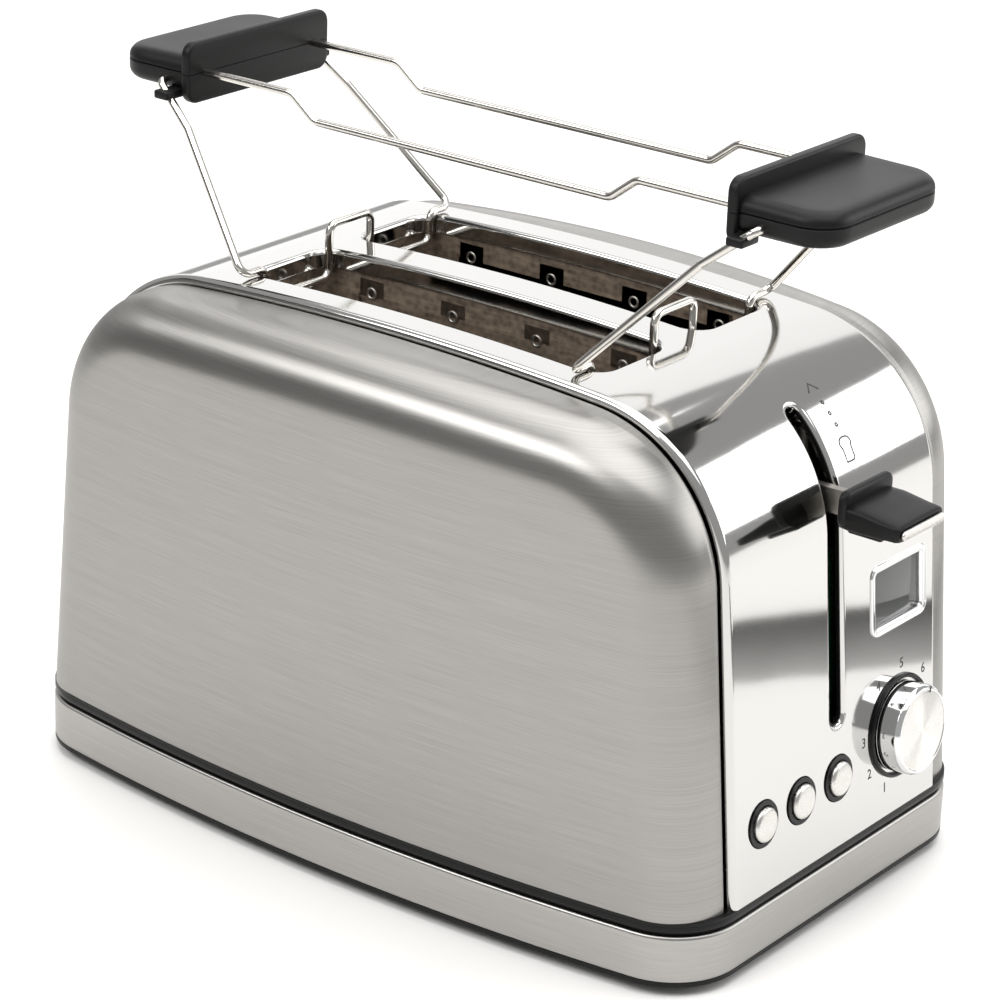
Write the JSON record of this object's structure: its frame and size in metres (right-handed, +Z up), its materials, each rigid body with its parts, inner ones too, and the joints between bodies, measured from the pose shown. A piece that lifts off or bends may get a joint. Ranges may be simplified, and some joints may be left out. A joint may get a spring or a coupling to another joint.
{
  "type": "pop-up toaster",
  "caption": "Two-slot pop-up toaster with domed side panels, a polished wrap, a lever, a dial, push buttons, a timer window and a lift-off warming rack.",
  "frame": {"origin": "on the table under the middle of the base, between the four feet", "axes": "+X points out of the control end, +Y across the slots to the far side panel, +Z up"},
  "size_m": [0.3054, 0.1784, 0.2433],
  "materials": {
    "polished_steel": "mirror-polished stainless sheet",
    "brushed_steel": "fine brushed stainless sheet",
    "black_plastic": "fine-textured black moulding",
    "rubber_feet": "soft black rubber",
    "bright_metal": "bright plated metal",
    "wire_steel": "bright plated wire",
    "plated_sheet": "zinc-plated sheet and bar",
    "reflector_sheet": "heat-browned sheet",
    "mica": "brown mica board",
    "heater_ribbon": "dull nickel-chromium ribbon",
    "copper_coil": "enamelled copper winding",
    "circuit_board": "green board",
    "grey_module": "grey display module",
    "window": "smoked clear window"
  },
  "bodies": {
    "root": {"wrap_shell": "polished_steel", "side_panel_near": "brushed_steel", "side_panel_far": "brushed_steel", "base_deck": "black_plastic", "base_skirt": "brushed_steel", "base_tub": "black_plastic", "foot_front_near": "rubber_feet", "foot_front_far": "rubber_feet", "foot_back_near": "rubber_feet", "foot_back_far": "rubber_feet", "cord_entry": "black_plastic", "base_screws": "bright_metal", "chassis_plate_front": "plated_sheet", "chassis_plate_back": "plated_sheet", "heater_near_outer": "mica", "heater_near_inner": "mica", "heater_far_inner": "mica", "heater_far_outer": "mica", "heater_ribbons": "heater_ribbon", "reflector_near": "reflector_sheet", "reflector_far": "reflector_sheet", "guide_rods": "plated_sheet", "return_spring": "wire_steel", "magnet_yoke": "plated_sheet", "magnet_coil": "copper_coil", "track_liner": "black_plastic", "display_bezel": "bright_metal", "display_window": "window", "timer_display": "grey_module", "dial_ring": "black_plastic", "dial_pot": "black_plastic", "button_rims": "black_plastic", "button_switches": "grey_module", "control_board": "circuit_board"},
    "carriage": {"carriage_bracket": "plated_sheet", "lifter_near": "plated_sheet", "lifter_far": "plated_sheet", "armature": "plated_sheet", "lever_arm": "plated_sheet", "lever_grip": "black_plastic", "lever_insert": "bright_metal"},
    "rack": {"rack_wire_near": "wire_steel", "rack_wire_far": "wire_steel", "rack_legs_front": "wire_steel", "rack_legs_back": "wire_steel", "rack_handle_front_upper": "black_plastic", "rack_handle_front_lower": "black_plastic", "rack_handle_back_upper": "black_plastic", "rack_handle_back_lower": "black_plastic"},
    "crumb_drawer": {"crumb_tray": "plated_sheet", "crumb_tray_pull": "black_plastic"},
    "dial": {"dial_knob": "bright_metal", "dial_shaft": "plated_sheet"},
    "guide_near_outer": {"guide_near_outer": "wire_steel"},
    "guide_near_inner": {"guide_near_inner": "wire_steel"},
    "guide_far_inner": {"guide_far_inner": "wire_steel"},
    "guide_far_outer": {"guide_far_outer": "wire_steel"},
    "button_left": {"button_left": "bright_metal"},
    "button_middle": {"button_middle": "bright_metal"},
    "button_right": {"button_right": "bright_metal"}
  },
  "joints": [
    {"name": "carriage_slide", "type": "slide", "parent": "root", "child": "carriage", "axis": [0, 0, 1], "range_m": [-0.066, 0.0055], "stiffness_N_per_m": 60, "springref_m": 0.02, "deforming": ["return_spring"]},
    {"name": "guide_tilt_near_outer", "type": "hinge", "parent": "root", "child": "guide_near_outer", "pos_m": [0, -0.0417, 0.046], "axis": [1, 0, 0], "range_deg": [-2.8, 0.25]},
    {"name": "guide_tilt_near_inner", "type": "hinge", "parent": "root", "child": "guide_near_inner", "pos_m": [0, -0.0107, 0.046], "axis": [1, 0, 0], "range_deg": [-0.25, 2.8]},
    {"name": "guide_tilt_far_inner", "type": "hinge", "parent": "root", "child": "guide_far_inner", "pos_m": [0, 0.0107, 0.046], "axis": [1, 0, 0], "range_deg": [-2.8, 0.25]},
    {"name": "guide_tilt_far_outer", "type": "hinge", "parent": "root", "child": "guide_far_outer", "pos_m": [0, 0.0417, 0.046], "axis": [1, 0, 0], "range_deg": [-0.25, 2.8]},
    {"name": "button_left_press", "type": "slide", "parent": "root", "child": "button_left", "axis": [-0.9959, 0, -0.0906], "range_m": [0, 0.002], "stiffness_N_per_m": 300},
    {"name": "button_middle_press", "type": "slide", "parent": "root", "child": "button_middle", "axis": [-0.9959, 0, -0.0906], "range_m": [0, 0.002], "stiffness_N_per_m": 300},
    {"name": "button_right_press", "type": "slide", "parent": "root", "child": "button_right", "axis": [-0.9959, 0, -0.0906], "range_m": [0, 0.002], "stiffness_N_per_m": 300},
    {"name": "dial_turn", "type": "hinge", "parent": "root", "child": "dial", "pos_m": [0.13596, 0.0355, 0.05328], "axis": [0.9959, 0, 0.0906], "range_deg": [-140, 130]},
    {"name": "crumb_tray_pull_out", "type": "slide", "parent": "root", "child": "crumb_drawer", "axis": [-1, 0, 0], "range_m": [0, 0.21]},
    {"name": "rack_lift_off", "type": "slide", "parent": "root", "child": "rack", "axis": [0, 0, 1], "range_m": [0, 0.09]}
  ],
  "couplings": [
    {"joint": "guide_tilt_near_outer", "follows": "carriage_slide", "rad_per_m": 0.727},
    {"joint": "guide_tilt_near_inner", "follows": "carriage_slide", "rad_per_m": -0.727},
    {"joint": "guide_tilt_far_inner", "follows": "carriage_slide", "rad_per_m": 0.727},
    {"joint": "guide_tilt_far_outer", "follows": "carriage_slide", "rad_per_m": -0.727}
  ]
}
